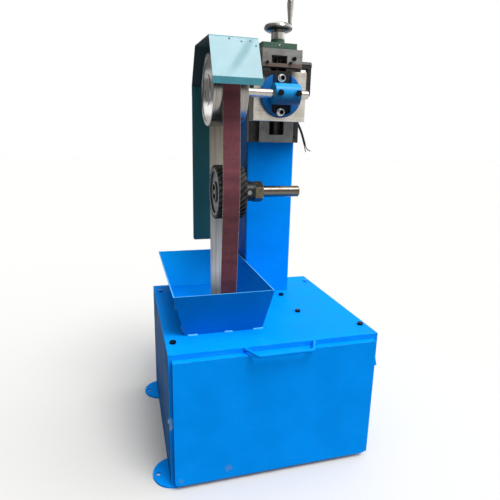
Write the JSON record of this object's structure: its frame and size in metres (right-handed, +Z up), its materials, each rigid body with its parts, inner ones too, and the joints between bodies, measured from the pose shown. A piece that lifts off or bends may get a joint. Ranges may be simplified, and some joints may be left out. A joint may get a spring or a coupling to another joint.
{
  "type": "vertical belt grinder",
  "caption": "Floor-standing vertical belt grinder: steel cabinet with motor, spark hopper, column, endless abrasive belt over a serrated contact wheel and a hand-fed, guarded tension wheel.",
  "frame": {"origin": "on the floor, under the middle of the cabinet's rectangular footprint, floor ears left out", "axes": "+Z up; the cover and handle face -Y; +X is to the right of a person facing the cover"},
  "size_m": [0.6919, 0.6365, 1.3655],
  "materials": {
    "blue_enamel": "gloss enamel over rough sheet",
    "guard_paint": "blue-green gloss paint",
    "green_hammer": "dark green hammer finish",
    "grey_iron": "machined iron",
    "motor_grey": "grey motor paint",
    "lamination_iron": "stacked sheet iron",
    "machined_steel": "turned",
    "black_steel": "black oxide",
    "yellow_zinc": "yellow zinc plate",
    "chrome": "polished",
    "satin_chrome": "satin",
    "turned_aluminium": "bright turned",
    "contact_rubber": "matt",
    "bronze": "machined",
    "abrasive_cloth": "grit-coated cloth",
    "black_plastic": "matt",
    "cable_rubber": "matt",
    "core_plastic": "matt",
    "green_plastic": "gloss",
    "red_plastic": "gloss"
  },
  "bodies": {
    "frame": {"base_plate": "blue_enamel", "cabinet_shell": "blue_enamel", "top_plate": "blue_enamel", "top_plate_bolts": "black_steel", "hopper": "blue_enamel", "front_handle": "blue_enamel", "cover_screws": "machined_steel", "column": "blue_enamel", "column_bolts": "black_steel", "slide_base": "grey_iron", "head_block": "grey_iron", "end_plate": "green_hammer", "head_screws": "black_steel", "oil_nipple": "machined_steel", "contact_arm": "black_steel", "contact_axle": "machined_steel", "axle_fixings": "yellow_zinc", "belt": "abrasive_cloth", "motor_frame": "motor_grey", "motor_end_shields": "motor_grey", "motor_stator": "lamination_iron", "motor_bearings": "machined_steel", "motor_fan_cover": "motor_grey", "motor_bolts": "black_steel", "switch_box": "blue_enamel", "cable_grommet": "cable_rubber", "supply_cable": "cable_rubber", "cable_cores": "core_plastic"},
    "cover": {"front_cover": "blue_enamel"},
    "drive": {"motor_rotor": "machined_steel", "motor_fan": "black_plastic", "drive_wheel": "turned_aluminium", "drive_fixings": "machined_steel"},
    "saddle": {"saddle": "grey_iron", "gib": "machined_steel", "gib_screws": "machined_steel", "feed_nut": "bronze", "clamp_screws": "black_steel", "guard_bracket": "machined_steel", "guard_hood": "guard_paint", "guard_back": "guard_paint", "guard_screws": "machined_steel"},
    "clamp": {"clamp_block": "blue_enamel", "clamp_bolts": "black_steel", "idler_shaft": "machined_steel", "shaft_nut": "machined_steel"},
    "idler": {"idler_wheel": "turned_aluminium", "idler_cap": "turned_aluminium", "idler_bearings": "machined_steel"},
    "contact": {"contact_hub": "turned_aluminium", "contact_tyre": "contact_rubber", "contact_bearings": "machined_steel"},
    "screw": {"lead_screw": "machined_steel", "dial_collar": "satin_chrome", "handwheel": "chrome", "crank_spindle": "machined_steel"},
    "crank": {"crank_handle": "chrome"},
    "lever": {"lock_lever": "black_steel"},
    "start": {"start_button": "green_plastic"},
    "stop": {"stop_button": "red_plastic"}
  },
  "joints": [
    {"name": "cover_pull", "type": "slide", "parent": "frame", "child": "cover", "axis": [0, -1, 0], "range_m": [0, 0.12]},
    {"name": "drive_spin", "type": "hinge", "parent": "frame", "child": "drive", "pos_m": [-0.098, 0.005, 0.29], "axis": [1, 0, 0], "continuous": true},
    {"name": "contact_spin", "type": "hinge", "parent": "frame", "child": "contact", "pos_m": [-0.091, -0.0255, 0.786], "axis": [1, 0, 0], "continuous": true},
    {"name": "handwheel_turn", "type": "hinge", "parent": "frame", "child": "screw", "pos_m": [0.094, 0.0975, 1.25], "axis": [0, 0, 1], "range_deg": [0, 5400], "deforming": ["belt"]},
    {"name": "crank_spin", "type": "hinge", "parent": "screw", "child": "crank", "pos_m": [0.132, 0.0975, 1.32], "axis": [0, 0, 1], "continuous": true},
    {"name": "saddle_slide", "type": "slide", "parent": "frame", "child": "saddle", "axis": [0, 0, 1], "range_m": [-0.06, 0], "deforming": ["belt"]},
    {"name": "clamp_swivel", "type": "hinge", "parent": "saddle", "child": "clamp", "pos_m": [0.094, 0.058, 1.07599], "axis": [0, 1, 0], "range_deg": [-1.5, 1.5], "deforming": ["belt"]},
    {"name": "idler_spin", "type": "hinge", "parent": "clamp", "child": "idler", "pos_m": [-0.098, 0.005, 1.07599], "axis": [1, 0, 0], "continuous": true},
    {"name": "lock_lever_swing", "type": "hinge", "parent": "frame", "child": "lever", "pos_m": [0.178, 0.07, 1.16949], "axis": [1, 0, 0], "range_deg": [-60, 0]},
    {"name": "start_press", "type": "slide", "parent": "frame", "child": "start", "axis": [-0.9701, 0, -0.2425], "range_m": [0, 0.004], "stiffness_N_per_m": 800},
    {"name": "stop_press", "type": "slide", "parent": "frame", "child": "stop", "axis": [-0.9701, 0, -0.2425], "range_m": [0, 0.004], "stiffness_N_per_m": 800}
  ],
  "couplings": [
    {"joint": "idler_spin", "follows": "drive_spin", "ratio": 0.65364},
    {"joint": "contact_spin", "follows": "drive_spin", "ratio": 0.81493},
    {"joint": "saddle_slide", "follows": "handwheel_turn", "m_per_rad": -0.00063662}
  ]
}
